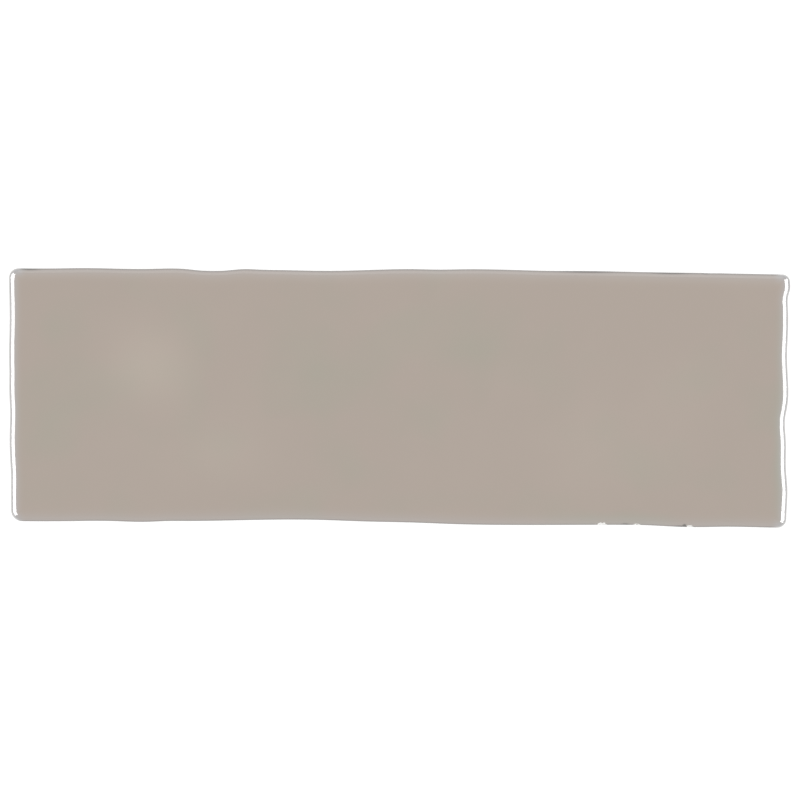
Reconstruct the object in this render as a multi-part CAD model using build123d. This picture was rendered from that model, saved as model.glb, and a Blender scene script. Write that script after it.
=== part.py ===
from build123d import *
from math import exp, radians, tan
import os

# A glazed wall tile with a hand-made look, fired as one piece.
# It lies on its back with the glazed face up: X along its length, Y across its
# width, Z out of the glaze. "Far" is towards +Y and "near" towards -Y. The
# origin is under the middle of the back. Sizes are in millimetres.

# The tile's nominal size: length and width are between its mean edges
length = 200.0
width = 65.0
thickness = 8.4

# Rounding of the glazed arris, and how much wider each corner is rounded when
# it is seen from above
arris_radius = 1.7
corner_extra = {"far_left": 0.7, "near_left": 1.2, "near_right": 0.6, "far_right": 0.3}

# The side walls lean in towards the back, as the press die leaves them, and
# end in a small bevel
side_draft = 2.5  # degrees
back_bevel = 0.4

# Each edge wanders out (+) and in (-) from its mean line. The first value is
# the place along the edge, from -1 to 1, and the second the departure in mm.
far_edge = [
    (-1.00, -0.28),
    (-0.92, -0.26),
    (-0.82, -0.08),
    (-0.66, -0.17),
    (-0.56, -0.13),
    (-0.53, -0.42),
    (-0.50, -0.54),
    (-0.46, -0.45),
    (-0.41, -0.02),
    (-0.37, -0.11),
    (-0.31, -0.19),
    (-0.20, -0.30),
    (-0.07, 0.06),
    (0.04, 0.32),
    (0.10, 0.25),
    (0.16, 0.38),
    (0.31, 0.29),
    (0.40, 0.15),
    (0.48, 0.18),
    (0.66, 0.00),
    (0.78, -0.07),
    (0.88, -0.18),
    (1.00, -0.28),
]
near_edge = [
    (-1.00, 0.24),
    (-0.90, 0.18),
    (-0.76, 0.03),
    (-0.67, 0.16),
    (-0.62, -0.08),
    (-0.57, -0.14),
    (-0.40, -0.51),
    (-0.20, -0.67),
    (-0.10, -0.40),
    (0.03, -0.21),
    (0.15, 0.12),
    (0.28, 0.22),
    (0.47, 0.06),
    (0.58, -0.04),
    (0.66, 0.02),
    (0.73, 0.32),
    (0.80, 0.38),
    (0.86, 0.24),
    (1.00, 0.36),
]
left_edge = [
    (-1.00, -0.76),
    (-0.84, -0.70),
    (-0.70, -0.66),
    (-0.50, -0.32),
    (-0.30, -0.26),
    (-0.18, -0.32),
    (0.04, -0.04),
    (0.17, -0.04),
    (0.30, 0.06),
    (0.55, 0.02),
    (0.78, 0.07),
    (1.00, 0.24),
]
right_edge = [
    (-1.00, -0.13),
    (-0.74, 0.08),
    (-0.62, -0.24),
    (-0.50, -0.38),
    (-0.38, -0.36),
    (-0.25, -0.63),
    (-0.15, -0.64),
    (-0.05, -0.11),
    (0.20, -0.03),
    (0.38, -0.27),
    (0.55, -0.11),
    (0.78, -0.14),
    (0.88, -0.11),
    (0.95, 0.40),
    (1.00, 0.34),
]

# The face rolls a little. Each swell or dip has its place along and across
# the face from -1 to 1, its height in mm and how far it reaches in mm.
face_swells = [
    (-0.66, 0.22, 0.22, 17.0),
    (-0.43, -0.48, 0.14, 15.0),
    (-0.15, 0.10, -0.20, 26.0),
    (0.20, -0.30, -0.12, 19.0),
    (0.47, -0.08, 0.16, 21.0),
    (0.82, 0.45, 0.10, 15.0),
]
face_crown = 0.30  # how far the face falls away at its edges
crown_reach = 3.4  # the fall is a third of that this far in from an edge

# Small chips in the arris: edge, place along it from 0 to 1, width and depth
arris_chips = [
    ("near", 0.767, 2.9, 0.55),
    ("near", 0.814, 2.0, 0.26),
    ("near", 0.884, 2.4, 0.45),
    ("far", 0.903, 1.6, 0.20),
]

# The back: a flat margin and a lattice of keying ribs round pressed pockets.
# The pitch is stretched until whole pairs of pockets fill the back.
margin_width = 4.6
rib_width = 2.4
pocket_pitch = 15.0
pocket_depth = 0.6
pocket_draft = 30.0  # degrees
pocket_corner = 1.4  # cut off each corner of a pocket, so that the press lets it go

# The blank is made too tall, and the face's surface trims it
trim_height = 2.0  # how far the blank stands above the face before that
face_overlap = 4.0  # how far the surface runs past the mean edges
face_step = 4.0  # spacing of the heights that it is drawn through


def wandering_edges(inset):
    """The near, right, far and left edges in plan, all taken in by the inset."""
    half_length = length / 2 - inset
    half_width = width / 2 - inset
    radius = {corner: arris_radius + extra - inset for corner, extra in corner_extra.items()}

    # Each edge starts and ends where its corner arcs do
    far_left_x = -half_length - left_edge[-1][1] + radius["far_left"]
    far_right_x = half_length + right_edge[-1][1] - radius["far_right"]
    near_left_x = -half_length - left_edge[0][1] + radius["near_left"]
    near_right_x = half_length + right_edge[0][1] - radius["near_right"]
    left_far_y = half_width + far_edge[0][1] - radius["far_left"]
    left_near_y = -half_width - near_edge[0][1] + radius["near_left"]
    right_far_y = half_width + far_edge[-1][1] - radius["far_right"]
    right_near_y = -half_width - near_edge[-1][1] + radius["near_right"]

    def between(start, end, place):
        return start + (end - start) * (place + 1) / 2

    near = [(between(near_left_x, near_right_x, p), -half_width - out) for p, out in near_edge]
    right = [(half_length + out, between(right_near_y, right_far_y, p)) for p, out in right_edge]
    far = [(between(far_left_x, far_right_x, p), half_width + out) for p, out in far_edge]
    left = [(-half_length - out, between(left_near_y, left_far_y, p)) for p, out in left_edge]
    along, across = (1, 0), (0, 1)
    return [
        Spline(*near, tangents=[along, along]),
        Spline(*right, tangents=[across, across]),
        Spline(*far, tangents=[along, along]),
        Spline(*left, tangents=[across, across]),
    ]


def outline(inset, height):
    """The closed outline at one height: four wandering edges and four corner arcs."""
    near, right, far, left = wandering_edges(inset)
    corners = [
        TangentArc(near @ 1, right @ 0, tangent=(1, 0)),
        TangentArc(right @ 1, far @ 1, tangent=(0, 1)),
        TangentArc(far @ 0, left @ 1, tangent=(-1, 0)),
        TangentArc(left @ 0, near @ 0, tangent=(0, -1)),
    ]
    return Pos(0, 0, height) * Wire([near, right, far, left] + corners)


def pressed_blank():
    """The tile's body with leaning side walls, taller than its glazed face."""
    widest = thickness - arris_radius
    tallest = thickness + trim_height
    lean = tan(radians(side_draft))
    bottom = outline(widest * lean, 0)
    top = outline((widest - tallest) * lean, tallest)
    return Solid.make_loft([bottom, top], ruled=True)


def face_height(x, y):
    """The height of the glazed face over one point of the back."""
    swell = sum(
        rise * exp(-((x - along * length / 2) ** 2 + (y - across * width / 2) ** 2) / reach**2)
        for along, across, rise, reach in face_swells
    )
    from_end = length / 2 - abs(x)
    from_side = width / 2 - abs(y)
    fall = exp(-from_end / crown_reach) + exp(-from_side / crown_reach)
    return thickness + swell - face_crown * fall


def stations(span):
    """Evenly spaced places from one side of a span to the other."""
    count = round(span / face_step)
    return [span * (i / count - 0.5) for i in range(count + 1)]


def glazed_face():
    """The rolling surface of the glazed face, a little larger than the tile."""
    heights = [
        [(x, y, face_height(x, y)) for x in stations(length + 2 * face_overlap)]
        for y in stations(width + 2 * face_overlap)
    ]
    return Face.make_surface_from_array_of_points(heights, tol=0.005, min_deg=3, max_deg=5)


def keying_pockets():
    """The pockets that the press leaves in the back, between the keying ribs."""
    span_along = length - 2 * margin_width + rib_width
    span_across = width - 2 * margin_width + rib_width
    columns = 2 * round(span_along / pocket_pitch / 2)
    rows = 2 * round(span_across / pocket_pitch / 2)
    pitch_along = span_along / columns
    pitch_across = span_across / rows
    square = Rectangle(pitch_along - rib_width, pitch_across - rib_width)
    mouth = chamfer(square.vertices(), pocket_corner)
    pocket = extrude(mouth, pocket_depth, taper=pocket_draft)
    return [place * pocket for place in GridLocations(pitch_along, pitch_across, columns, rows)]


def chip_bites():
    """Balls that bite the small chips out of the arris."""
    near, _, far, _ = wandering_edges(0)
    edges = {"near": (near, -1), "far": (far, 1)}
    shoulder = thickness - arris_radius
    bites = []
    for side, place, chip_width, depth in arris_chips:
        edge, outward = edges[side]
        radius = (chip_width**2 / 4 + depth**2) / (2 * depth)
        lip = edge @ place
        bites.append(Pos(lip.X, lip.Y + outward * (radius - depth), shoulder) * Sphere(radius))
    return bites


def tile():
    """The whole tile, with its bounding box centred over the origin."""
    halves = split(pressed_blank(), bisect_by=glazed_face(), keep=Keep.BOTH)
    body = halves.solids().sort_by(Axis.Z)[0]
    back = body.faces().sort_by(Axis.Z)[0]
    body = body.chamfer(back_bevel, None, back.edges())
    glazed = body.faces().sort_by(Axis.Z)[-1]
    body = body.fillet(arris_radius, glazed.edges())
    body = body - chip_bites() - keying_pockets()
    middle = body.bounding_box().center()
    return Pos(-middle.X, -middle.Y, 0) * body


os.makedirs("parts", exist_ok=True)
export_step(tile(), "parts/wall_tile.step")
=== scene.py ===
import logging
import math
from dataclasses import dataclass
from enum import Enum

import bmesh
import bpy
import numpy as np
from mathutils import Matrix, Vector


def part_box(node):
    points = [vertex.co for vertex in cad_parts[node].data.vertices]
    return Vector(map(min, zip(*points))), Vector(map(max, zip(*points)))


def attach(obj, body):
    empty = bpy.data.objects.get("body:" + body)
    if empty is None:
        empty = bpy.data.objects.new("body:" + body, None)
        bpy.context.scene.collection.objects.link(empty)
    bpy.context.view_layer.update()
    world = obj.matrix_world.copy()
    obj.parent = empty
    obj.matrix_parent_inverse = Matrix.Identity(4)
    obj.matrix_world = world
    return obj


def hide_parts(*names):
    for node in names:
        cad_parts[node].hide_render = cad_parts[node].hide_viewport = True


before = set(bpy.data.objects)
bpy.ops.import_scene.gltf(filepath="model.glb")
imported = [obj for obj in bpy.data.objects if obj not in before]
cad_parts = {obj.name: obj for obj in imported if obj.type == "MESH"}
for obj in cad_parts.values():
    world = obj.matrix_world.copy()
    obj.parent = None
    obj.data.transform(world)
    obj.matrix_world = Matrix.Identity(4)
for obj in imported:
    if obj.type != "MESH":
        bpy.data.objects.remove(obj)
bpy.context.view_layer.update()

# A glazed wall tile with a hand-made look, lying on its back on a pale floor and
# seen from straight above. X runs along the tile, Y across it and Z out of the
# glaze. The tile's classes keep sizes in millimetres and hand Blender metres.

NODE = "wall_tile"
BODY = "root"
MM = 0.001

# What the mesh tells the material at each point
COVER = "glaze_cover"  # mm above the lower edge of the glaze
INWARD = "inward"  # mm in from the tile's edge, and below 0 down its side
BROKEN = "broken"  # 1 in a chip
MARKS = (COVER, INWARD, BROKEN)

log = logging.getLogger(NODE)


class Side(Enum):
    """The four sides of the tile, each with its outward direction in plan."""

    NEAR = (0.0, -1.0)
    RIGHT = (1.0, 0.0)
    FAR = (0.0, 1.0)
    LEFT = (-1.0, 0.0)


class Signal:
    """One output of a node, with arithmetic that adds the Math nodes it needs."""

    def __init__(self, graph: "Graph", socket: bpy.types.NodeSocket) -> None:
        """Keeps the socket and the tree that it belongs to."""
        self.graph = graph
        self.socket = socket

    def __add__(self, other: "Signal | float") -> "Signal":
        """Adds another signal or number."""
        return self.graph.math("ADD", self, other)

    __radd__ = __add__

    def __sub__(self, other: "Signal | float") -> "Signal":
        """Takes another signal or number away."""
        return self.graph.math("SUBTRACT", self, other)

    def __rsub__(self, other: float) -> "Signal":
        """Takes this signal away from a number."""
        return self.graph.math("SUBTRACT", other, self)

    def __mul__(self, other: "Signal | float") -> "Signal":
        """Multiplies by another signal or number."""
        return self.graph.math("MULTIPLY", self, other)

    __rmul__ = __mul__

    def __truediv__(self, other: "Signal | float") -> "Signal":
        """Divides by another signal or number."""
        return self.graph.math("DIVIDE", self, other)

    def __rtruediv__(self, other: float) -> "Signal":
        """Divides a number by this signal."""
        return self.graph.math("DIVIDE", other, self)

    def __neg__(self) -> "Signal":
        """Turns the sign round."""
        return self * -1.0

    def __abs__(self) -> "Signal":
        """Drops the sign."""
        return self.graph.math("ABSOLUTE", self)

    def exp(self) -> "Signal":
        """Raises e to this signal."""
        return self.graph.math("EXPONENT", self)

    def greatest(self, other: "Signal | float") -> "Signal":
        """Takes the larger of the two."""
        return self.graph.math("MAXIMUM", self, other)

    def least(self, other: "Signal | float") -> "Signal":
        """Takes the smaller of the two."""
        return self.graph.math("MINIMUM", self, other)

    def rise(self, low: float, high: float) -> "Signal":
        """Climbs smoothly from 0 to 1.

        Args:
            low: Where the climb starts.
            high: Where it ends.

        Returns:
            0 below low, 1 above high and a smooth step between them.
        """
        mapped = self.graph.node(
            "ShaderNodeMapRange",
            {"interpolation_type": "SMOOTHSTEP"},
            {"Value": self, "From Min": low, "From Max": high},
        )
        return mapped["Result"]


class Node:
    """A placed node, whose outputs are read by identifier or name."""

    def __init__(self, graph: "Graph", node: bpy.types.Node) -> None:
        """Keeps the node and the tree that it belongs to."""
        self.graph = graph
        self.node = node

    def __getitem__(self, key: str) -> Signal:
        """Gives one output as a signal."""
        return Signal(self.graph, find_socket(self.node.outputs, key))


def find_socket(sockets: bpy.types.bpy_prop_collection, key: str) -> bpy.types.NodeSocket:
    """Finds a socket.

    Args:
        sockets: A node's inputs or outputs.
        key: The socket's identifier, or else its name.

    Returns:
        The first socket that answers to it.
    """
    for socket in sockets:
        if socket.identifier == key:
            return socket
    return sockets[key]


class Graph:
    """A node tree under construction, for shaders and for geometry alike."""

    def __init__(self, tree: bpy.types.NodeTree) -> None:
        """Starts from a tree, which is emptied."""
        self.tree = tree
        self.tree.nodes.clear()

    def node(self, kind: str, settings: dict | None = None, sockets: dict | None = None) -> Node:
        """Places a node.

        Args:
            kind: Blender's name for the type of node.
            settings: The node's own settings, which are set first.
            sockets: Values or signals for its inputs, by identifier or name.

        Returns:
            The placed node.
        """
        placed = self.tree.nodes.new(kind)
        for name, value in (settings or {}).items():
            setattr(placed, name, value)
        for key, value in (sockets or {}).items():
            socket = find_socket(placed.inputs, key)
            if isinstance(value, Signal):
                self.tree.links.new(value.socket, socket)
            else:
                socket.default_value = value
        return Node(self, placed)

    def math(self, operation: str, *operands: "Signal | float") -> Signal:
        """Places a Math node.

        Args:
            operation: Blender's name for the operation.
            operands: One to three signals or numbers.

        Returns:
            The result.
        """
        names = ("Value", "Value_001", "Value_002")
        return self.node("ShaderNodeMath", {"operation": operation}, dict(zip(names, operands)))["Value"]

    def vector(self, x: "Signal | float", y: "Signal | float", z: "Signal | float") -> Signal:
        """Joins three signals or numbers into a vector."""
        return self.node("ShaderNodeCombineXYZ", None, {"X": x, "Y": y, "Z": z})["Vector"]

    def parts(self, vector: Signal) -> tuple[Signal, Signal, Signal]:
        """Splits a vector into its three parts."""
        split = self.node("ShaderNodeSeparateXYZ", None, {"Vector": vector})
        return split["X"], split["Y"], split["Z"]

    def blend(self, low: "Signal | float", high: "Signal | float", factor: Signal) -> Signal:
        """Blends two numbers or signals by a third."""
        return low + (high - low) * factor

    def tint(self, low: "Signal | tuple", high: "Signal | tuple", factor: "Signal | float") -> Signal:
        """Blends two colours.

        Args:
            low: The colour at factor 0.
            high: The colour at factor 1.
            factor: How far to go from one to the other.

        Returns:
            The blended colour.
        """
        mix = self.node(
            "ShaderNodeMix",
            {"data_type": "RGBA"},
            {"Factor_Float": factor, "A_Color": low, "B_Color": high},
        )
        return mix["Result_Color"]


class GeometryGraph(Graph):
    """A Geometry Nodes tree with named inputs, which ends in one material."""

    def __init__(self, name: str, inputs: dict[str, str]) -> None:
        """Makes the tree and its interface.

        Args:
            name: The tree's name.
            inputs: The kind of socket for each named input.
        """
        super().__init__(bpy.data.node_groups.new(name, "GeometryNodeTree"))
        face = self.tree.interface
        face.new_socket(name="Geometry", in_out="INPUT", socket_type="NodeSocketGeometry")
        face.new_socket(name="Geometry", in_out="OUTPUT", socket_type="NodeSocketGeometry")
        for label, kind in {**inputs, "Material": "Material"}.items():
            face.new_socket(name=label, in_out="INPUT", socket_type=f"NodeSocket{kind}")
        self.given = self.node("NodeGroupInput")

    def placed(self, geometry: Signal, position: Signal, selection: Signal | None = None) -> Signal:
        """Moves points to a new position.

        Args:
            geometry: The points' geometry.
            position: Where they go.
            selection: Which of them move, or None for all.

        Returns:
            The geometry with the points moved.
        """
        sockets = {"Geometry": geometry, "Position": position}
        if selection:
            sockets["Selection"] = selection
        return self.node("GeometryNodeSetPosition", None, sockets)["Geometry"]

    def close(self, geometry: Signal) -> None:
        """Ends the tree with real geometry in its one material.

        Args:
            geometry: What the tree has made.
        """
        real = self.node("GeometryNodeRealizeInstances", None, {"Geometry": geometry})
        sockets = {"Geometry": real["Geometry"], "Material": self.given["Material"]}
        dressed = self.node("GeometryNodeSetMaterial", None, sockets)
        self.node("NodeGroupOutput", None, {"Geometry": dressed["Geometry"]})

    def grow(self, start: bpy.types.Mesh, values: dict[str, object]) -> bpy.types.Mesh:
        """Runs the tree once.

        Args:
            start: The mesh that goes in.
            values: A value for each named input.

        Returns:
            What comes out, as a plain mesh.
        """
        host = bpy.data.objects.new(self.tree.name, start)
        bpy.context.scene.collection.objects.link(host)
        modifier = host.modifiers.new(self.tree.name, "NODES")
        modifier.node_group = self.tree
        for item in self.tree.interface.items_tree:
            if item.in_out == "INPUT" and item.name in values:
                modifier[item.identifier] = values[item.name]
        depsgraph = bpy.context.evaluated_depsgraph_get()
        grown = bpy.data.meshes.new_from_object(
            host.evaluated_get(depsgraph), preserve_all_data_layers=True, depsgraph=depsgraph
        )
        host.modifiers.remove(modifier)
        bpy.data.objects.remove(host)
        return grown


def smooth(places: np.ndarray) -> np.ndarray:
    """Turns 0..1 into a smooth step, and holds what lies outside."""
    held = np.clip(places, 0.0, 1.0)
    return held * held * (3.0 - 2.0 * held)


@dataclass(frozen=True)
class WanderingEdge:
    """How far one edge stands out (+) or in (-) from its mean line.

    Each pair holds a place along the edge, from -1 to 1, and the departure there.
    """

    wander: tuple[tuple[float, float], ...]

    def departure(self, places: np.ndarray) -> np.ndarray:
        """Reads the smooth curve through the departures, which is level at both ends.

        Args:
            places: Places along the edge, from -1 to 1.

        Returns:
            The departure at each place, in mm.
        """
        # The slopes are those that let the bend run on smoothly from span to span
        knots, values = np.array(self.wander).T
        gaps = np.diff(knots)
        steps = np.diff(values) / gaps
        count = len(knots)
        terms = np.eye(count)
        right = np.zeros(count)
        for i in range(1, count - 1):
            terms[i, i - 1 : i + 2] = gaps[i], 2 * (gaps[i - 1] + gaps[i]), gaps[i - 1]
            right[i] = 3 * (gaps[i] * steps[i - 1] + gaps[i - 1] * steps[i])
        slopes = np.linalg.solve(terms, right)
        span = np.clip(np.searchsorted(knots, places) - 1, 0, count - 2)
        t = (places - knots[span]) / gaps[span]
        rise = values[span] * (1 + 2 * t) * (1 - t) ** 2 + values[span + 1] * t**2 * (3 - 2 * t)
        lean = slopes[span] * t * (1 - t) ** 2 - slopes[span + 1] * t**2 * (1 - t)
        return rise + lean * gaps[span]


@dataclass(frozen=True)
class PlanShape:
    """How the tile's edges wander in plan, and how its corners are rounded."""

    far: WanderingEdge = WanderingEdge((
        (-1.00, -0.28), (-0.92, -0.26), (-0.82, -0.08), (-0.66, -0.17), (-0.56, -0.13),
        (-0.53, -0.42), (-0.50, -0.54), (-0.46, -0.45), (-0.41, -0.02), (-0.37, -0.11),
        (-0.31, -0.19), (-0.20, -0.30), (-0.07, 0.06), (0.04, 0.32), (0.10, 0.25),
        (0.16, 0.38), (0.31, 0.29), (0.40, 0.15), (0.48, 0.18), (0.66, 0.00),
        (0.78, -0.07), (0.88, -0.18), (1.00, -0.28),
    ))
    near: WanderingEdge = WanderingEdge((
        (-1.00, 0.24), (-0.90, 0.18), (-0.76, 0.03), (-0.67, 0.16), (-0.62, -0.08),
        (-0.57, -0.14), (-0.40, -0.51), (-0.20, -0.67), (-0.10, -0.40), (0.03, -0.21),
        (0.15, 0.12), (0.28, 0.22), (0.47, 0.06), (0.58, -0.04), (0.66, 0.02),
        (0.73, 0.32), (0.80, 0.38), (0.86, 0.24), (1.00, 0.36),
    ))
    left: WanderingEdge = WanderingEdge((
        (-1.00, -0.76), (-0.84, -0.70), (-0.70, -0.66), (-0.50, -0.32), (-0.30, -0.26),
        (-0.18, -0.32), (0.04, -0.04), (0.17, -0.04), (0.30, 0.06), (0.55, 0.02),
        (0.78, 0.07), (1.00, 0.24),
    ))
    right: WanderingEdge = WanderingEdge((
        (-1.00, -0.13), (-0.74, 0.08), (-0.62, -0.24), (-0.50, -0.38), (-0.38, -0.36),
        (-0.25, -0.63), (-0.15, -0.64), (-0.05, -0.11), (0.20, -0.03), (0.38, -0.27),
        (0.55, -0.11), (0.78, -0.14), (0.88, -0.11), (0.95, 0.40), (1.00, 0.34),
    ))

    # How much wider than the arris each corner is rounded
    far_left_extra: float = 0.7
    near_left_extra: float = 1.2
    near_right_extra: float = 0.6
    far_right_extra: float = 0.3


@dataclass(frozen=True)
class Swell:
    """A soft swell (+) or dip (-) of the face, placed from -1 to 1 both ways."""

    along: float
    across: float
    height: float
    reach: float


@dataclass(frozen=True)
class Chip:
    """A small chip in the arris, placed from 0 to 1 along its side.

    Its middle lies the lift above the foot of the arris, in mm. The bare body shows in
    it, unless it was there before the glaze and is glazed over.
    """

    side: Side
    place: float
    width: float
    depth: float
    lift: float = 0.7
    glazed_over: bool = False


@dataclass(frozen=True)
class Patch:
    """The points and faces of one part of the tile, and each mark's value at every point."""

    points: np.ndarray
    faces: list[tuple[int, ...]]
    values: dict[str, np.ndarray]

    def mesh(self, name: str) -> bpy.types.Mesh:
        """Makes a Blender mesh of the patch.

        Args:
            name: The mesh's name.

        Returns:
            The mesh, in metres, with the marks as its attributes.
        """
        mesh = bpy.data.meshes.new(name)
        mesh.from_pydata((self.points * MM).tolist(), [], self.faces)
        for label, values in self.values.items():
            layer = mesh.attributes.new(label, "FLOAT", "POINT")
            layer.data.foreach_set("value", values.astype(np.float32))
        mesh.update()
        return mesh

    @classmethod
    def read(cls, mesh: bpy.types.Mesh) -> "Patch":
        """Reads a Blender mesh back.

        Args:
            mesh: A mesh in metres. A mark that it lacks is 0 all over.

        Returns:
            Its points, faces and marks.
        """
        points = np.zeros(len(mesh.vertices) * 3)
        mesh.vertices.foreach_get("co", points)
        values = {}
        for label in MARKS:
            values[label] = np.zeros(len(mesh.vertices), np.float32)
            if label in mesh.attributes:
                mesh.attributes[label].data.foreach_get("value", values[label])
        faces = [tuple(face.vertices) for face in mesh.polygons]
        return cls(points.reshape(-1, 3) / MM, faces, values)

    def joined(self, other: "Patch") -> "Patch":
        """Puts another patch beside this one.

        Args:
            other: The other patch.

        Returns:
            Both as one patch, not yet welded together.
        """
        start = len(self.points)
        faces = self.faces + [tuple(i + start for i in face) for face in other.faces]
        values = {label: np.append(self.values[label], other.values[label]) for label in self.values}
        return Patch(np.vstack([self.points, other.points]), faces, values)


@dataclass(frozen=True)
class GlazeRun:
    """The lower edge of the glaze, part of the way down the sides."""

    height: float = 3.7
    wander: float = 0.75
    harmonics: int = 46
    drips: int = 11
    drip_drop: float = 1.5
    drip_width: float = 2.6
    lip: float = 0.11
    lip_rise: float = 0.45
    seed: int = 7

    def level(self, around: np.ndarray, girth: float) -> np.ndarray:
        """Gives the height of the glaze's lower edge.

        Args:
            around: Places round the tile, in mm from one corner.
            girth: The whole way round, in mm.

        Returns:
            The height above the back, in mm.
        """
        chance = np.random.default_rng(self.seed)
        level = np.full(len(around), self.height)
        turns = 2 * np.pi * around / girth
        for order in range(2, self.harmonics):
            size = self.wander * order**-0.9 * chance.normal()
            level += size * np.sin(order * turns + chance.uniform(0, 2 * np.pi))
        for _ in range(self.drips):
            place = chance.uniform(0, girth)
            drop = self.drip_drop * chance.uniform(0.4, 1.0)
            away = (around - place + girth / 2) % girth - girth / 2
            level -= drop * np.exp(-((away / (self.drip_width * chance.uniform(0.6, 1.3))) ** 2))
        return level


@dataclass(frozen=True)
class KeyingLattice:
    """The back's lattice of pressed pockets and the ribs that key into the bedding."""

    margin_width: float = 4.6
    rib_width: float = 2.4
    pocket_pitch: float = 15.0
    pocket_depth: float = 0.6
    pocket_draft: float = 30.0
    corner_radius: float = 2.2
    corner_steps: int = 6
    wall_steps: int = 6

    def pockets(self, span: float) -> tuple[int, float]:
        """Fits whole pairs of pockets into a span of the back.

        Args:
            span: The tile's size that way.

        Returns:
            How many pockets there are and their pitch.
        """
        room = span - 2 * self.margin_width + self.rib_width
        count = 2 * round(room / self.pocket_pitch / 2)
        return count, room / count

    def graph(self) -> GeometryGraph:
        """Builds the tree that presses one pocket and repeats it over the back.

        Returns:
            The tree.
        """
        sizes = ["Pitch Along", "Pitch Across", "Rib Width", "Corner Radius", "Depth", "Wall Width"]
        kinds = {"Columns": "Int", "Rows": "Int", "Corner Steps": "Int"}
        graph = GeometryGraph("keying_lattice", {**kinds, **dict.fromkeys(sizes, "Float")})
        given = graph.given
        corner = given["Corner Radius"]
        half_rib = given["Rib Width"] * 0.5
        mouth_along = given["Pitch Along"] - given["Rib Width"]
        mouth_across = given["Pitch Across"] - given["Rib Width"]

        # The mouth of one pocket is a rounded rectangle
        box = graph.node(
            "GeometryNodeCurvePrimitiveQuadrilateral", None, {"Width": mouth_along, "Height": mouth_across}
        )
        rounded = graph.node(
            "GeometryNodeFilletCurve",
            {"mode": "POLY"},
            {"Curve": box["Curve"], "Radius": corner, "Count": given["Corner Steps"], "Limit Radius": False},
        )
        filled = graph.node("GeometryNodeFillCurve", {"mode": "NGONS"}, {"Curve": rounded["Curve"]})
        noted = graph.node(
            "GeometryNodeStoreNamedAttribute",
            {"data_type": "FLOAT_VECTOR", "domain": "POINT"},
            {
                "Geometry": filled["Mesh"],
                "Name": "mouth",
                "Value": graph.node("GeometryNodeInputPosition")["Position"],
            },
        )
        mouth = graph.node(
            "GeometryNodeInputNamedAttribute", {"data_type": "FLOAT_VECTOR"}, {"Name": "mouth"}
        )
        x, y, _ = graph.parts(mouth["Attribute"])

        # Each point of the mouth belongs to the nearest point of a smaller core,
        # and moves out to the cell's edge or in to the floor along that line
        core_along = mouth_along * 0.5 - corner
        core_across = mouth_across * 0.5 - corner
        core_x = x.least(core_along).greatest(-core_along)
        core_y = y.least(core_across).greatest(-core_across)
        away_x = x - core_x
        away_y = y - core_y
        stretch = (corner + half_rib) / abs(away_x).greatest(abs(away_y))
        shape = graph.placed(
            noted["Geometry"], graph.vector(core_x + away_x * stretch, core_y + away_y * stretch, 0.0)
        )
        floor: Signal | bool = True
        for step in range(self.wall_steps + 1):
            share = step / self.wall_steps
            shrink = 1.0 - given["Wall Width"] * share / corner
            depth = given["Depth"] * float(smooth(np.float64(share)))
            pushed = graph.node(
                "GeometryNodeExtrudeMesh",
                {"mode": "FACES"},
                {"Mesh": shape, "Selection": floor, "Offset Scale": 0.0, "Individual": False},
            )
            floor = pushed["Top"]
            target = graph.vector(core_x + away_x * shrink, core_y + away_y * shrink, depth)
            shape = graph.placed(pushed["Mesh"], target, floor)

        grid = graph.node(
            "GeometryNodeMeshGrid",
            None,
            {
                "Size X": given["Pitch Along"] * (given["Columns"] - 1.0),
                "Size Y": given["Pitch Across"] * (given["Rows"] - 1.0),
                "Vertices X": given["Columns"],
                "Vertices Y": given["Rows"],
            },
        )
        cells = graph.node("GeometryNodeInstanceOnPoints", None, {"Points": grid["Mesh"], "Instance": shape})
        graph.close(cells["Instances"])
        return graph

    def patch(self, length: float, width: float, material: bpy.types.Material) -> Patch:
        """Presses the lattice.

        Args:
            length: The tile's length.
            width: The tile's width.
            material: The material that it is made of.

        Returns:
            The lattice as an open sheet, centred over the back.
        """
        columns, pitch_along = self.pockets(length)
        rows, pitch_across = self.pockets(width)
        wall_width = 1.5 * self.pocket_depth * math.tan(math.radians(self.pocket_draft))
        values = {
            "Columns": columns,
            "Rows": rows,
            "Corner Steps": self.corner_steps,
            "Pitch Along": pitch_along * MM,
            "Pitch Across": pitch_across * MM,
            "Rib Width": self.rib_width * MM,
            "Corner Radius": self.corner_radius * MM,
            "Depth": self.pocket_depth * MM,
            "Wall Width": wall_width * MM,
            "Material": material,
        }
        grown = self.graph().grow(bpy.data.meshes.new("lattice_start"), values)
        log.info("keying lattice: %d by %d pockets", columns, rows)
        return Patch.read(grown)


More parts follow.
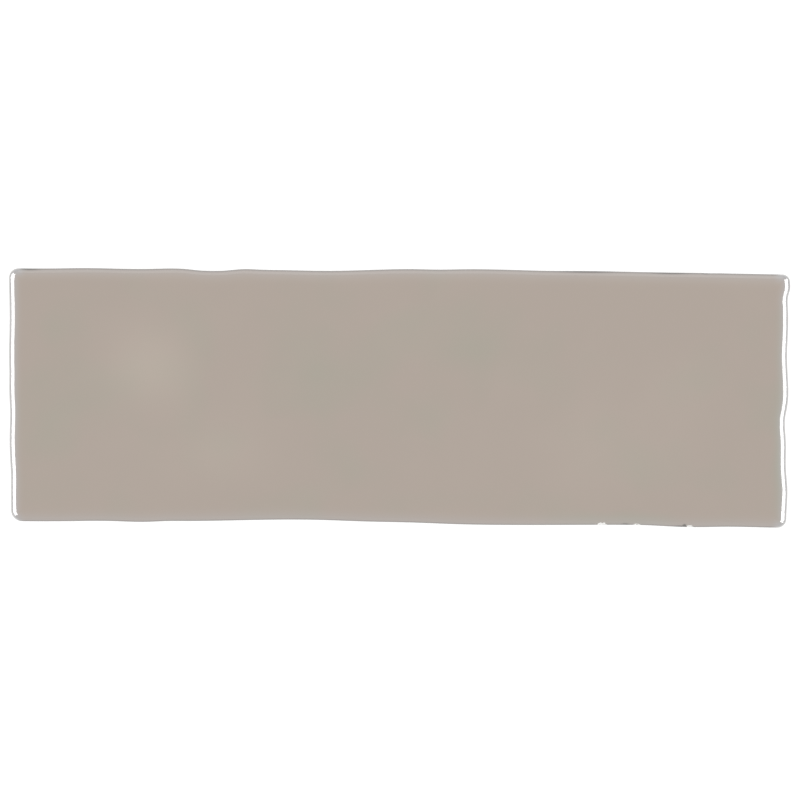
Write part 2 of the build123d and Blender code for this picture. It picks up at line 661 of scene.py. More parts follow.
@dataclass(frozen=True)
class GlazeRipple:
    """The small ripples that the fired glaze keeps, besides the face's large swells."""

    height: float = 0.035
    size: float = 11.0
    run_in: float = 6.0
    seed: float = 4.0

    def graph(self) -> GeometryGraph:
        """Builds the tree that ripples a face, but not its edges.

        Returns:
            The tree.
        """
        graph = GeometryGraph("glaze_ripple", {"Height": "Float", "Size": "Float", "Seed": "Float"})
        given = graph.given
        position = graph.node("GeometryNodeInputPosition")["Position"]
        waves = graph.node(
            "ShaderNodeTexNoise",
            {"noise_dimensions": "4D"},
            {
                "Vector": position,
                "W": given["Seed"],
                "Scale": 1.0 / given["Size"],
                "Detail": 1.5,
                "Roughness": 0.4,
            },
        )
        inward = graph.node("GeometryNodeInputNamedAttribute", {"data_type": "FLOAT"}, {"Name": INWARD})
        free = inward["Attribute"].rise(0.3, self.run_in)
        lift = (waves["Fac"] - 0.5) * 2.0 * given["Height"] * free
        x, y, z = graph.parts(position)
        graph.close(graph.placed(given["Geometry"], graph.vector(x, y, z + lift)))
        return graph

    def applied(self, patch: Patch, material: bpy.types.Material) -> Patch:
        """Ripples a patch, away from the tile's edges.

        Args:
            patch: The glazed part of the tile.
            material: The material that it is made of.

        Returns:
            The rippled patch.
        """
        values = {"Height": self.height * MM, "Size": self.size * MM, "Seed": self.seed, "Material": material}
        grown = self.graph().grow(patch.mesh("ripple_start"), values)
        return Patch.read(grown)


@dataclass(frozen=True)
class Finish:
    """A surface's colour, gloss and grain. Colours are linear."""

    colour: tuple[float, float, float]
    roughness: float
    grain_size: float
    grain_height: float

    def rgba(self, light: float = 1.0) -> tuple[float, float, float, float]:
        """Gives the colour, made lighter or darker, with a full alpha."""
        red, green, blue = (min(part * light, 1.0) for part in self.colour)
        return red, green, blue, 1.0


@dataclass(frozen=True)
class ToneSpot:
    """A soft-edged place in the glaze that is lighter, cooler or darker than the rest; the darker ones are
    painted shade.
    """

    along: float
    across: float
    reach_along: float
    reach_across: float
    light: float = 0.0
    cool: float = 0.0
    dark: float = 0.0


@dataclass(frozen=True)
class TileFinish:
    """The glaze, the bare biscuit under it, and what varies over them."""

    glaze: Finish = Finish((0.375, 0.309, 0.259), 0.07, 0.9, 0.0012)
    biscuit: Finish = Finish((0.80, 0.76, 0.69), 0.82, 0.32, 0.028)
    glaze_index: float = 1.9
    light_glaze: float = 1.35
    cool_glaze: tuple[float, float, float] = (0.328, 0.314, 0.246)
    thin_glaze_and_reflection: tuple[float, float, float] = (0.440, 0.440, 0.455)
    shade_glaze: tuple[float, float, float] = (0.060, 0.052, 0.046)
    fresh_break: tuple[float, float, float] = (0.95, 0.94, 0.92)

    # The glaze is cooler and lighter over the arris, most of all at both ends: partly thin glaze and partly
    # painted reflection.
    # It is lighter along the far edge, where a band of painted reflection runs in from the edge
    edge_reach: float = 1.95
    edge_share: float = 0.30
    end_share: float = 0.55
    end_from: tuple[float, float] = (95.5, 98.5)
    far_share: float = 0.06
    far_from: tuple[float, float] = (26.5, 31.0)
    far_painted_reflection: float = 0.17
    far_reflection_reach: float = 2.9

    # Along the line where the glaze turns down the side: a line of painted shade along the tile, and a pale
    # line of painted reflection at both ends
    rim_shade_share: float = 0.55
    pale_rim_reflection: tuple[float, float, float] = (0.64, 0.63, 0.61)
    pale_reflection_share: float = 0.80

    # A slow drift of tone over the whole face
    drift_size: float = 15.0
    drift_light: float = 0.14
    drift_cool: float = 1.3

    spots: tuple[ToneSpot, ...] = (
        ToneSpot(-64.3, 7.6, 10.5, 10.5, light=0.34, cool=0.36),
        ToneSpot(-44.5, -15.3, 12.0, 9.0, light=0.17),
        ToneSpot(51.7, -13.3, 14.0, 12.0, light=0.12),
        ToneSpot(72.3, -0.4, 12.0, 14.0, light=0.10),
        ToneSpot(9.4, 16.6, 19.0, 11.0, cool=0.26),
        ToneSpot(-20.0, 3.6, 15.0, 14.0, cool=0.26),
        ToneSpot(17.0, 0.2, 11.0, 10.0, cool=0.20),
        ToneSpot(-89.0, -8.5, 10.0, 10.0, cool=0.22),
        # The last three spots are narrow cool bands at the right end and along the near edge: painted
        # reflection at the edge, with painted shade beside the near chips
        ToneSpot(98.4, -17.0, 2.0, 15.0, cool=1.00),
        ToneSpot(98.4, 12.0, 1.8, 12.0, cool=0.60),
        ToneSpot(58.0, -31.0, 19.0, 2.0, cool=0.60),
    )

    # Short marks of painted shade on the arris
    painted_shade_marks: tuple[ToneSpot, ...] = (
        ToneSpot(48.2, 32.60, 5.6, 0.40, dark=1.00),
        ToneSpot(69.6, 32.42, 3.8, 0.38, dark=0.95),
        ToneSpot(78.7, 32.50, 0.8, 0.33, dark=1.50),
        ToneSpot(-95.0, 32.10, 2.2, 0.42, dark=0.80),
        ToneSpot(100.35, 29.7, 0.30, 2.2, dark=0.55),
        ToneSpot(58.4, -32.35, 0.8, 0.32, dark=0.80),
        ToneSpot(73.6, -32.50, 0.38, 0.34, dark=1.40),
        ToneSpot(72.6, -32.70, 1.4, 0.25, dark=0.60),
    )

    def closeness(self, spot: ToneSpot, x: Signal, y: Signal) -> Signal:
        """Tells how near a place is to a spot.

        Args:
            spot: The spot.
            x: The place along the tile, in metres.
            y: The place across it.

        Returns:
            1 in the middle of the spot, falling softly to 0 away from it.
        """
        along = (x - spot.along * MM) / (spot.reach_along * MM)
        across = (y - spot.across * MM) / (spot.reach_across * MM)
        return (-(along * along + across * across)).exp()

    def tones(self, graph: Graph, position: Signal) -> tuple[Signal, Signal, Signal]:
        """Adds up the spots, the marks of painted shade and a slow drift over the face.

        Args:
            graph: The material's tree.
            position: The place on the tile, in metres.

        Returns:
            How light, how cool and how dark the glaze is there.
        """
        x, y, _ = graph.parts(position)
        light: Signal | float = 0.0
        cool: Signal | float = 0.0
        dark: Signal | float = 0.0
        for spot in self.spots:
            near = self.closeness(spot, x, y)
            light = near * spot.light + light
            cool = near * spot.cool + cool
        # The marks of painted shade on the arris
        for shade_mark in self.painted_shade_marks:
            dark = self.closeness(shade_mark, x, y) * shade_mark.dark + dark
        drift = self.noise(graph, position, self.drift_size, 1.0)
        light = light + (drift - 0.5) * self.drift_light
        aside = graph.node(
            "ShaderNodeVectorMath", {"operation": "ADD"}, {"Vector": position, "Vector_001": (1, 0, 0)}
        )
        drift = self.noise(graph, aside["Vector"], self.drift_size, 1.0)
        cool = cool + (drift - 0.5) * self.drift_cool
        return light, cool.greatest(0.0), dark

    def glaze_colour(self, graph: Graph, position: Signal) -> Signal:
        """Mottles the glaze, makes it cooler and lighter towards the tile's edges as partly painted
        reflection, and paints shade along the rim.

        Args:
            graph: The material's tree.
            position: The place on the tile, in metres.

        Returns:
            The glaze's colour.
        """
        x, y, _ = graph.parts(position)
        section = self.value(graph, INWARD)
        inward = section.greatest(0.0)
        at_end = abs(x / MM).rise(*self.end_from)
        at_far = (y / MM).rise(*self.far_from)
        light, cool, dark = self.tones(graph, position)
        # Painted reflection: the glaze is lighter in a band along the far edge
        light = self.fade(inward, self.far_reflection_reach) * at_far * self.far_painted_reflection + light
        colour = graph.tint(self.glaze.rgba(), (*self.cool_glaze, 1.0), cool)
        colour = graph.tint(colour, self.glaze.rgba(self.light_glaze), light)

        # The cooler, lighter band over the arris: partly thin glaze, partly painted reflection
        share = at_far * self.far_share + at_end * self.end_share + self.edge_share
        colour = graph.tint(colour, (*self.thin_glaze_and_reflection, 1.0), self.fade(inward, self.edge_reach) * share)
        # Painted shade along the rim, and a pale painted reflection on it at both ends
        rim = section.rise(-0.6, 0.0) * (1.0 - section.rise(0.15, 0.45))
        colour = graph.tint(colour, (*self.pale_rim_reflection, 1.0), rim * at_end * self.pale_reflection_share)
        dark = rim * (1.0 - at_end) * self.rim_shade_share + dark
        return graph.tint(colour, (*self.shade_glaze, 1.0), dark.least(0.9))

    def fade(self, inward: Signal, reach: float) -> Signal:
        """Falls softly from 1 at the tile's edge towards 0, reach mm in from it."""
        share = inward / reach
        return (-(share * share)).exp()

    def noise(self, graph: Graph, position: Signal, size: float, detail: float) -> Signal:
        """Gives soft noise whose grains are about one size across, in mm."""
        sockets = {"Vector": position, "Scale": 1.0 / (size * MM), "Detail": detail, "Roughness": 0.5}
        return graph.node("ShaderNodeTexNoise", {"noise_dimensions": "3D"}, sockets)["Fac"]

    def value(self, graph: Graph, label: str) -> Signal:
        """Reads one of the mesh's own values."""
        settings = {"attribute_type": "GEOMETRY", "attribute_name": label}
        return graph.node("ShaderNodeAttribute", settings)["Fac"]

    def material(self) -> bpy.types.Material:
        """Builds the one material of the tile: glaze over biscuit.

        Returns:
            The material.
        """
        material = bpy.data.materials.new("glazed_biscuit")
        material.use_nodes = True
        graph = Graph(material.node_tree)
        position = graph.node("ShaderNodeTexCoord")["Object"]
        fine = self.noise(graph, position, self.biscuit.grain_size, 4.0)
        coarse = self.noise(graph, position, 2.6, 3.0)

        # The glaze ends in a ragged line and is missing in the chips
        edge = self.value(graph, COVER) + (coarse - 0.5) * 0.35
        broken = self.value(graph, BROKEN).rise(0.25, 0.55)
        glazed = edge.rise(-0.05, 0.10) * (1.0 - broken)
        pooled = (1.0 - edge.rise(0.0, 0.9)) * 0.35
        glaze = graph.tint(self.glaze_colour(graph, position), self.glaze.rgba(0.72), pooled)
        biscuit = graph.tint(self.biscuit.rgba(0.86), self.biscuit.rgba(1.10), fine)
        biscuit = graph.tint(biscuit, self.biscuit.rgba(0.80), coarse.rise(0.50, 0.72) * 0.35)
        biscuit = graph.tint(biscuit, (*self.fresh_break, 1.0), broken)

        swell = self.noise(graph, position, self.glaze.grain_size, 2.0) * self.glaze.grain_height
        grain = fine * self.biscuit.grain_height
        bump = graph.node(
            "ShaderNodeBump",
            None,
            {"Strength": 1.0, "Distance": MM, "Height": graph.blend(grain, swell, glazed)},
        )
        surface = graph.node(
            "ShaderNodeBsdfPrincipled",
            None,
            {
                "Base Color": graph.tint(biscuit, glaze, glazed),
                "Roughness": graph.blend(self.biscuit.roughness, self.glaze.roughness, glazed),
                "IOR": self.glaze_index,
                "Normal": bump["Normal"],
            },
        )
        graph.node("ShaderNodeOutputMaterial", None, {"Surface": surface["BSDF"]})
        return material


@dataclass(frozen=True)
class GlazedTile:
    """The tile itself: one pressed body with its glaze. All sizes are in mm."""

    length: float = 200.0
    width: float = 65.0
    thickness: float = 8.4
    arris_radius: float = 1.7
    side_draft: float = 2.5
    back_bevel: float = 0.4
    face_crown: float = 0.30
    crown_reach: float = 3.4

    # Spacing of the mesh
    coarse_step: float = 1.0
    fine_step: float = 0.35
    chip_step: float = 0.2
    corner_steps: int = 5
    side_step: float = 0.27
    arris_steps: int = 14

    swells: tuple[Swell, ...] = (
        Swell(-0.66, 0.22, 0.22, 17.0),
        Swell(-0.43, -0.48, 0.14, 15.0),
        Swell(-0.15, 0.10, -0.20, 26.0),
        Swell(0.20, -0.30, -0.12, 19.0),
        Swell(0.47, -0.08, 0.16, 21.0),
        Swell(0.82, 0.45, 0.10, 15.0),
    )
    chips: tuple[Chip, ...] = (
        Chip(Side.NEAR, 0.767, 2.9, 0.55),
        Chip(Side.NEAR, 0.814, 2.0, 0.26),
        Chip(Side.NEAR, 0.884, 2.4, 0.45),
        Chip(Side.FAR, 0.903, 1.6, 0.20, 0.0, glazed_over=True),
    )
    plan: PlanShape = PlanShape()
    glaze_run: GlazeRun = GlazeRun()
    lattice: KeyingLattice = KeyingLattice()
    ripple: GlazeRipple = GlazeRipple()
    finish: TileFinish = TileFinish()

    def edges(self) -> dict[Side, WanderingEdge]:
        """Gives the wander of each side's edge."""
        plan = self.plan
        return {Side.FAR: plan.far, Side.NEAR: plan.near, Side.LEFT: plan.left, Side.RIGHT: plan.right}

    def corners(self) -> dict[tuple[Side, Side], tuple[np.ndarray, float]]:
        """Finds each corner in plan, at the widest level.

        Returns:
            The centre and radius of each corner, by the two sides that it joins.
        """
        edges = self.edges()
        extras = {
            (Side.LEFT, Side.NEAR): self.plan.near_left_extra,
            (Side.NEAR, Side.RIGHT): self.plan.near_right_extra,
            (Side.RIGHT, Side.FAR): self.plan.far_right_extra,
            (Side.FAR, Side.LEFT): self.plan.far_left_extra,
        }
        found = {}
        for (before, after), extra in extras.items():
            radius = self.arris_radius + extra
            ends, long_side = (before, after) if before in (Side.LEFT, Side.RIGHT) else (after, before)
            sign_x, sign_y = ends.value[0], long_side.value[1]
            out_x = float(edges[ends].departure(np.array([sign_y]))[0])
            out_y = float(edges[long_side].departure(np.array([sign_x]))[0])
            x = sign_x * (self.length / 2 + out_x - radius)
            y = sign_y * (self.width / 2 + out_y - radius)
            found[(before, after)] = (np.array([x, y]), radius)
        return found

    def stations(self, span: float, chips: list[float]) -> np.ndarray:
        """Spaces the mesh along an edge, closely near its ends and its chips.

        Args:
            span: The edge's length.
            chips: Places of chips along it, from 0 to 1.

        Returns:
            Places from -1 to 1.
        """
        fine = np.linspace(0.0, span, 6000)
        to_end = np.minimum(fine, span - fine)
        step = self.fine_step + (self.coarse_step - self.fine_step) * smooth(to_end / 9.0)
        for place in chips:
            close = 1.0 - smooth(np.abs(fine - place * span) / 3.2)
            step = step + (self.chip_step - step) * close
        count = np.concatenate([[0.0], np.cumsum(np.diff(fine) / step[1:])])
        whole = round(count[-1])
        return np.interp(np.arange(whole + 1) * count[-1] / whole, count, fine) / span * 2.0 - 1.0

    def outline(self) -> tuple[np.ndarray, np.ndarray, list[int]]:
        """Walks round the tile at its widest level, from the near left corner.

        Returns:
            The points in plan, the way out at each of them, and how many steps
            each side takes from the middle of one corner to that of the next.
        """
        edges = self.edges()
        corners = self.corners()
        order = [Side.NEAR, Side.RIGHT, Side.FAR, Side.LEFT]
        long_chips = [chip.place for chip in self.chips]
        spacing = {
            True: self.stations(self.length, long_chips),
            False: self.stations(self.width, []),
        }
        points, outward, steps = [], [], []
        for index, side in enumerate(order):
            before = corners[(order[index - 1], side)]
            after = corners[(side, order[(index + 1) % 4])]
            out = np.array(side.value)
            along = np.array([-out[1], out[0]])
            heading = math.atan2(out[1], out[0])
            for turn in np.linspace(-math.pi / 4, 0.0, self.corner_steps + 1)[:-1]:
                way = np.array([math.cos(heading + turn), math.sin(heading + turn)])
                points.append(before[0] + before[1] * way)
                outward.append(way)
            places = spacing[abs(out[1]) > 0.5]
            start, end = before[0] @ along, after[0] @ along
            half = self.width / 2 if abs(out[1]) > 0.5 else self.length / 2
            forward = along[0] + along[1] > 0
            wander = edges[side].departure(places if forward else -places)
            for place, departure in zip(places, wander):
                slide = start + (end - start) * (place + 1) / 2
                points.append(along * slide + out * (half + departure))
                outward.append(out)
            for turn in np.linspace(0.0, math.pi / 4, self.corner_steps + 1)[1:-1]:
                way = np.array([math.cos(heading + turn), math.sin(heading + turn)])
                points.append(after[0] + after[1] * way)
                outward.append(way)
            steps.append(2 * self.corner_steps + len(places) - 1)
        return np.array(points), np.array(outward), steps

    def face_height(self, plan: np.ndarray) -> np.ndarray:
        """Gives the height of the glazed face.

        Args:
            plan: Points in plan.

        Returns:
            The height over each of them: soft swells, falling away at the edges.
        """
        x, y = plan[..., 0], plan[..., 1]
        height = np.full(x.shape, self.thickness)
        for swell in self.swells:
            away_x = x - swell.along * self.length / 2
            away_y = y - swell.across * self.width / 2
            height += swell.height * np.exp(-(away_x**2 + away_y**2) / swell.reach**2)
        from_end = self.length / 2 - np.abs(x)
        from_side = self.width / 2 - np.abs(y)
        fall = np.exp(-from_end / self.crown_reach) + np.exp(-from_side / self.crown_reach)
        return height - self.face_crown * fall

    def rings(self) -> tuple[list[np.ndarray], dict[str, list[np.ndarray]], list[int]]:
        """Stacks rings of points up the side and over the arris.

        Returns:
            The rings, the values at their points, and the steps of each side.
        """
        widest, outward, steps = self.outline()
        count = len(widest)
        hops = np.linalg.norm(np.roll(widest, -1, axis=0) - widest, axis=1)
        around = np.concatenate([[0.0], np.cumsum(hops)[:-1]])
        run = self.glaze_run.level(around, float(hops.sum()))
        shoulder = self.thickness - self.arris_radius
        lean = math.tan(math.radians(self.side_draft))
        crest = self.face_height(widest) - self.arris_radius

        # Each level has its inset from the widest one, its height and its mark for
        # how far in it lies: first the bevel, then the leaning side, then the arris
        levels: list[tuple[np.ndarray, np.ndarray, np.ndarray]] = []
        foot = np.full(count, (shoulder - self.back_bevel) * lean)
        for share in (0.0, 0.5, 1.0):
            inset = foot + self.back_bevel * (1.0 - share)
            height = np.full(count, self.back_bevel * share)
            levels.append((inset, height, height - crest))
        climb = round((shoulder - self.back_bevel) / self.side_step)
        for step in range(1, climb + 1):
            height = self.back_bevel + (crest - self.back_bevel) * step / climb
            levels.append(((shoulder - height) * lean, height, height - crest))
        for step in range(1, self.arris_steps + 1):
            turn = math.pi / 2 * step / self.arris_steps
            inset = np.full(count, self.arris_radius * (1.0 - math.cos(turn)))
            drop = self.arris_radius * (1.0 - math.sin(turn))
            plan = widest - outward * inset[:, None]
            levels.append((inset, self.face_height(plan) - drop, inset))

        # Below the glaze the bare side stands back by the thickness of its lip
        rings = []
        values: dict[str, list[np.ndarray]] = {label: [] for label in MARKS}
        for inset, height, inward in levels:
            cover = height - run
            bare = 1.0 - smooth((cover + 0.1) / self.glaze_run.lip_rise)
            plan = widest - outward * (inset + self.glaze_run.lip * bare)[:, None]
            rings.append(np.column_stack([plan, height]))
            values[COVER].append(cover)
            values[INWARD].append(inward)
            values[BROKEN].append(np.zeros(count))
        return rings, values, steps

    def knock(self, rings: list[np.ndarray], broken: list[np.ndarray]) -> None:
        """Knocks the chips out of the arris.

        Args:
            rings: The rings of points, which are changed.
            broken: The value that marks a chip, which is changed too.
        """
        chance = np.random.default_rng(11)
        corners = self.corners()
        shoulder = self.thickness - self.arris_radius
        for chip in self.chips:
            out = chip.side.value[1]
            left = corners[(Side.LEFT, Side.NEAR) if out < 0 else (Side.FAR, Side.LEFT)][0][0]
            right = corners[(Side.NEAR, Side.RIGHT) if out < 0 else (Side.RIGHT, Side.FAR)][0][0]
            departure = self.edges()[chip.side].departure(np.array([chip.place * 2 - 1]))[0]
            middle = left + (right - left) * chip.place
            lip = self.width / 2 + departure
            radius = (chip.width**2 / 4 + chip.depth**2) / (2 * chip.depth)
            phase = chance.uniform(0, 2 * np.pi)
            for ring, mark in zip(rings, broken):
                away_x = ring[:, 0] - middle
                away_z = ring[:, 2] - shoulder - chip.lift
                turn = np.arctan2(away_z, away_x)
                ragged = radius * (1.0 + 0.05 * np.sin(3 * turn + phase) + 0.03 * np.sin(7 * turn - phase))
                inside = np.maximum(ragged**2 - away_x**2 - away_z**2, 0.0)
                wall = lip + radius - chip.depth - np.sqrt(inside)
                bite = ring[:, 1] * out - wall
                hit = (bite > 0) & (inside > 0)
                rough = chance.normal(0.0, 0.022, len(ring))
                ring[hit, 1] = (wall + rough)[hit] * out
                if not chip.glazed_over:
                    mark[hit] = np.clip(bite[hit] / 0.05, 0.3, 1.0)

    def face(self, rim: np.ndarray, steps: list[int]) -> tuple[np.ndarray, np.ndarray, np.ndarray]:
        """Spans the face inside the arris with a grid that follows its four edges.

        Args:
            rim: The last ring of the arris.
            steps: The steps of each side.

        Returns:
            The grid's points in plan, each one's number in the rim, or -1, and
            how far it lies in from the tile's edge.
        """
        across, up = steps[0], steps[1]
        numbers = np.arange(len(rim))
        near = numbers[: across + 1]
        right = numbers[across : across + up + 1]
        far = numbers[across + up : 2 * across + up + 1][::-1]
        left = np.append(numbers[2 * across + up :], 0)[::-1]
        # The rows between near and far, plus the columns between left and right,
        # less the corners, which would count twice
        plan = rim[:, :2]
        u = np.mean([plan[near, 0], plan[far, 0]], axis=0)
        u = (u - u[0]) / (u[-1] - u[0])
        v = np.mean([plan[left, 1], plan[right, 1]], axis=0)
        v = (v - v[0]) / (v[-1] - v[0])
        u, v = u[None, :, None], v[:, None, None]
        rows = (1 - v) * plan[near][None] + v * plan[far][None]
        columns = (1 - u) * plan[left][:, None] + u * plan[right][:, None]
        low = (1 - u) * plan[near[0]] + u * plan[near[-1]]
        high = (1 - u) * plan[far[0]] + u * plan[far[-1]]
        grid = rows + columns - (1 - v) * low - v * high
        owner = np.full(grid.shape[:2], -1)
        owner[0, :], owner[-1, :], owner[:, 0], owner[:, -1] = near, far, left, right
        from_sides = np.minimum(grid[..., 1] - plan[near, 1], plan[far, 1] - grid[..., 1])
        from_ends = np.minimum(grid[..., 0] - plan[left, :1], plan[right, :1] - grid[..., 0])
        return grid, owner, np.minimum(from_sides, from_ends) + self.arris_radius

    def shell(self) -> Patch:
        """Builds the bevel, sides, arris and face.

        Returns:
            All of them as one patch, which is open round the back.
        """
        rings, values, steps = self.rings()
        self.knock(rings, values[BROKEN])
        count = len(rings[0])
        faces = []
        for level in range(len(rings) - 1):
            for i in range(count):
                j = (i + 1) % count
                low, high = level * count, (level + 1) * count
                faces.append((low + i, low + j, high + j, high + i))

        top = (len(rings) - 1) * count
        grid, owner, inward = self.face(rings[-1], steps)
        inner = owner < 0
        number = owner + top
        number[inner] = len(rings) * count + np.arange(inner.sum())
        plan = grid[inner]
        points = np.vstack(rings + [np.column_stack([plan, self.face_height(plan)])])
        for row in range(grid.shape[0] - 1):
            for column in range(grid.shape[1] - 1):
                pair, above = number[row, column : column + 2], number[row + 1, column : column + 2]
                faces.append((int(pair[0]), int(pair[1]), int(above[1]), int(above[0])))
        values[COVER].append(np.full(len(plan), self.thickness))
        values[INWARD].append(inward[inner])
        values[BROKEN].append(np.zeros(len(plan)))
        filled = {label: np.concatenate(parts) for label, parts in values.items()}
        log.info("shell: %d rings of %d points, face of %d by %d", len(rings), count, *grid.shape[:2])
        return Patch(points, faces, filled)

    def assembled(self, material: bpy.types.Material) -> Patch:
        """Puts the shell and the back together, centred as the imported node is.

        Args:
            material: The tile's material.

        Returns:
            Both as one patch, not yet welded together.
        """
        shell = self.ripple.applied(self.shell(), material)
        back = self.lattice.patch(self.length, self.width, material)
        back.values[COVER][:] = -self.thickness
        back.values[INWARD][:] = -self.thickness
        whole = shell.joined(back)
        low, high = whole.points.min(axis=0), whole.points.max(axis=0)
        cad_low, cad_high = (np.array(corner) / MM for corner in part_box(NODE))
        whole.points[:, :2] += ((cad_low + cad_high - low - high) / 2)[:2]
        return whole

    def welded(self, patch: Patch) -> bpy.types.Mesh:
        """Welds a patch and closes the ring between its lattice and its bevel.

        Args:
            patch: The whole tile, still open round the back.

        Returns:
            A closed mesh.
        """
        mesh = patch.mesh("glazed_tile")
        weld = bmesh.new()
        weld.from_mesh(mesh)
        bmesh.ops.remove_doubles(weld, verts=weld.verts, dist=0.004 * MM)
        open_edges = [edge for edge in weld.edges if edge.is_boundary]
        bmesh.ops.triangle_fill(weld, edges=open_edges, use_beauty=True, normal=Vector((0, 0, -1)))
        bmesh.ops.recalc_face_normals(weld, faces=weld.faces)
        loose = sum(not edge.is_manifold for edge in weld.edges)
        weld.to_mesh(mesh)
        weld.free()
        mesh.calc_loop_triangles()
        log.info("glazed_tile: %d triangles, %d open edges", len(mesh.loop_triangles), loose)
        return mesh

    def build(self) -> bpy.types.Object:
        """Builds the whole tile as one closed piece.

        Returns:
            The finished object.
        """
        material = self.finish.material()
        mesh = self.welded(self.assembled(material))
        mesh.shade_smooth()
        mesh.set_sharp_from_angle(angle=math.radians(38))
        mesh.materials.clear()
        mesh.materials.append(material)
        piece = bpy.data.objects.new("glazed_tile", mesh)
        bpy.context.scene.collection.objects.link(piece)
        return piece

    def fit(self) -> None:
        """Builds the tile and hands it to the frame."""
        piece = self.build()
        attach(piece, BODY)
        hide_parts(NODE)


@dataclass(frozen=True)
class SoftBox:
    """A rectangular soft lamp, leaning between a low and a high edge. Sizes are in metres.

    It shows in gloss only, like a reflector card. The room's even light does the rest.
    """

    name: str
    low: tuple[float, float, float]
    high: tuple[float, float, float]
    breadth: float
    radiance: float

    def hang(self) -> None:
        """Places the lamp so that it faces the tile."""
        low, high = Vector(self.low), Vector(self.high)
        rise = (high - low).normalized()
        middle = (low + high) / 2
        facing = rise.cross(Vector((0, 0, 1)).cross(middle)).normalized()
        if facing.dot(middle) > 0:
            facing = -facing
        lamp = bpy.data.lights.new(self.name, "AREA")
        lamp.shape = "RECTANGLE"
        lamp.size = self.breadth
        lamp.size_y = (high - low).length
        lamp.energy = self.radiance * math.pi * lamp.size * lamp.size_y
        holder = bpy.data.objects.new(self.name, lamp)
        sideways = rise.cross(-facing)
        turn = Matrix((sideways, rise, -facing)).transposed()
        holder.matrix_world = Matrix.Translation(middle) @ turn.to_4x4()
        holder.visible_camera = False
        holder.visible_diffuse = False
        bpy.context.scene.collection.objects.link(holder)


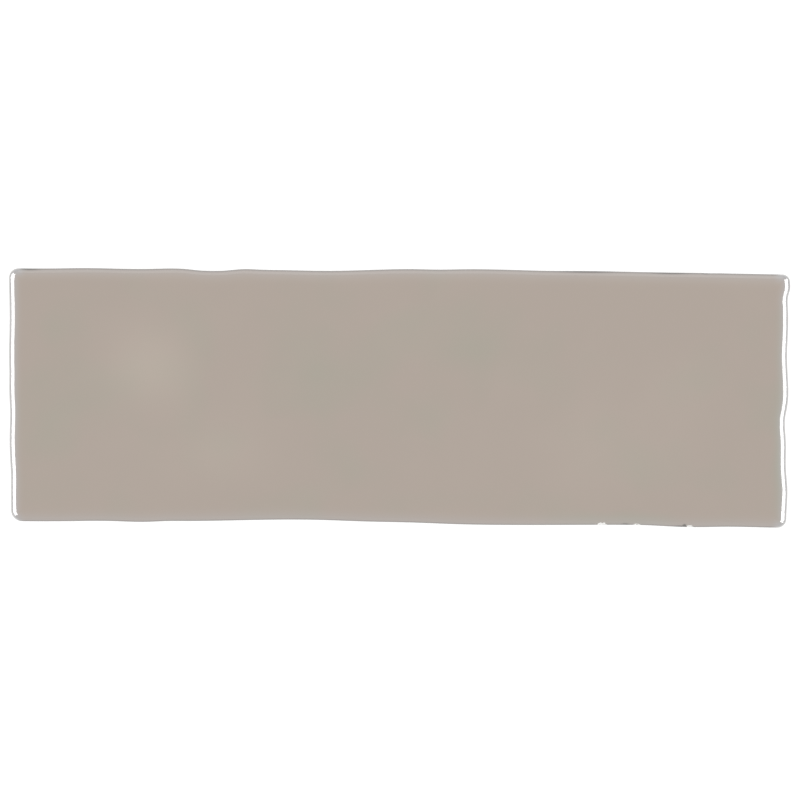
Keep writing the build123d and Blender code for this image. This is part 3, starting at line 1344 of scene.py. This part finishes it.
@dataclass(frozen=True)
class Studio:
    """The pale floor, the soft light and the camera straight above. Sizes are in metres."""

    floor_size: float = 14.0
    ambient: float = 1.02
    floor_glow: float = 0.74
    floor_seen: float = 0.40
    floor_tone: float = 0.60
    lamps: tuple[SoftBox, ...] = (
        SoftBox("left_softbox", (-0.70, 0.0, 0.012), (-0.45, 0.0, 0.61), 0.30, 7.0),
        SoftBox("right_softbox", (0.70, 0.0, 0.012), (0.45, 0.0, 0.61), 0.30, 7.0),
        SoftBox("far_left_strip", (-0.634, 0.296, 0.012), (-0.434, 0.201, 0.61), 0.29, 7.0),
        SoftBox("far_right_strip", (0.634, 0.296, 0.012), (0.434, 0.201, 0.61), 0.29, 7.0),
        SoftBox("near_left_strip", (-0.634, -0.296, 0.012), (-0.434, -0.201, 0.61), 0.29, 7.0),
        SoftBox("near_right_strip", (0.634, -0.296, 0.012), (0.434, -0.201, 0.61), 0.29, 7.0),
        SoftBox("far_softbox", (0.0, 0.80, 0.01), (0.0, 0.60, 0.55), 0.40, 0.45),
        SoftBox("near_softbox", (0.0, -0.80, 0.01), (0.0, -0.60, 0.55), 0.40, 0.10),
    )
    camera_distance: float = 3.0
    sensor: float = 0.036
    image_size: int = 800
    scale_px_per_mm: float = 3.895
    tile_at_px: tuple[float, float] = (398.75, 396.7)
    camera_roll: float = 0.456
    edge_level: float = 6.7

    def seen(self, graph: Graph) -> Signal:
        """Tells which rays see the background.

        Args:
            graph: The tree of the floor or the sky.

        Returns:
            1 for a ray from the camera, a mirror or glass, and 0 for others.
        """
        path = graph.node("ShaderNodeLightPath")
        rays = path["Is Camera Ray"] + path["Is Glossy Ray"] + path["Is Transmission Ray"]
        return rays.least(1.0)

    def lay_floor(self) -> None:
        """Lays the pale floor, which looks white and keeps the tile's soft shadow."""
        material = bpy.data.materials.new("pale_floor")
        material.use_nodes = True
        graph = Graph(material.node_tree)
        seen = self.seen(graph)
        tone = graph.blend(self.floor_tone, self.floor_seen, seen)
        matt = graph.node("ShaderNodeBsdfDiffuse", None, {"Color": graph.vector(tone, tone, tone)})
        level = seen * self.floor_glow
        glow = graph.node("ShaderNodeEmission", None, {"Color": graph.vector(level, level, level)})
        both = graph.node(
            "ShaderNodeAddShader", None, {"Shader": matt["BSDF"], "Shader_001": glow["Emission"]}
        )
        graph.node("ShaderNodeOutputMaterial", None, {"Surface": both["Shader"]})

        half = self.floor_size / 2
        mesh = bpy.data.meshes.new("floor")
        corners = [(-half, -half, 0), (half, -half, 0), (half, half, 0), (-half, half, 0)]
        mesh.from_pydata(corners, [], [(0, 1, 2, 3)])
        mesh.transform(Matrix.Translation((0, 0, -0.02 * MM)))
        mesh.materials.append(material)
        floor = bpy.data.objects.new("floor", mesh)
        bpy.context.scene.collection.objects.link(floor)

    def light(self) -> None:
        """Fills the room with soft light and hangs the lamps."""
        world = bpy.data.worlds.new("studio")
        world.use_nodes = True
        graph = Graph(world.node_tree)
        level = graph.blend(self.ambient, 1.0, self.seen(graph))
        glow = graph.node("ShaderNodeBackground", None, {"Color": graph.vector(level, level, level)})
        graph.node("ShaderNodeOutputWorld", None, {"Surface": glow["Background"]})
        bpy.context.scene.world = world
        for lamp in self.lamps:
            lamp.hang()

    def aim_camera(self) -> None:
        """Hangs the camera over the tile, with the photograph's scale and turn."""
        data = bpy.data.cameras.new("camera")
        data.sensor_width = self.sensor * 1000
        seen_width = self.image_size / self.scale_px_per_mm * MM
        data.lens = self.sensor * 1000 * self.camera_distance / seen_width
        data.clip_end = 100.0
        middle = self.image_size / 2
        off = Vector((middle - self.tile_at_px[0], self.tile_at_px[1] - middle)) / self.scale_px_per_mm * MM
        roll = math.radians(self.camera_roll)
        off = Matrix.Rotation(roll, 2) @ off
        camera = bpy.data.objects.new("camera", data)
        camera.location = (off.x, off.y, self.edge_level * MM + self.camera_distance)
        camera.rotation_euler = (0.0, 0.0, roll)
        bpy.context.scene.collection.objects.link(camera)
        bpy.context.scene.camera = camera
        bpy.context.scene.view_settings.view_transform = "Standard"

    def set_up(self) -> None:
        """Sets up the floor, the light and the camera."""
        self.lay_floor()
        self.light()
        self.aim_camera()
        log.info("studio: %d lamps, camera %.1f m above", len(self.lamps), self.camera_distance)


def main() -> None:
    """Builds the tile and the studio."""
    logging.basicConfig(level=logging.INFO, format="%(name)s: %(message)s")
    GlazedTile().fit()
    Studio().set_up()


if __name__ == "__main__":
    main()
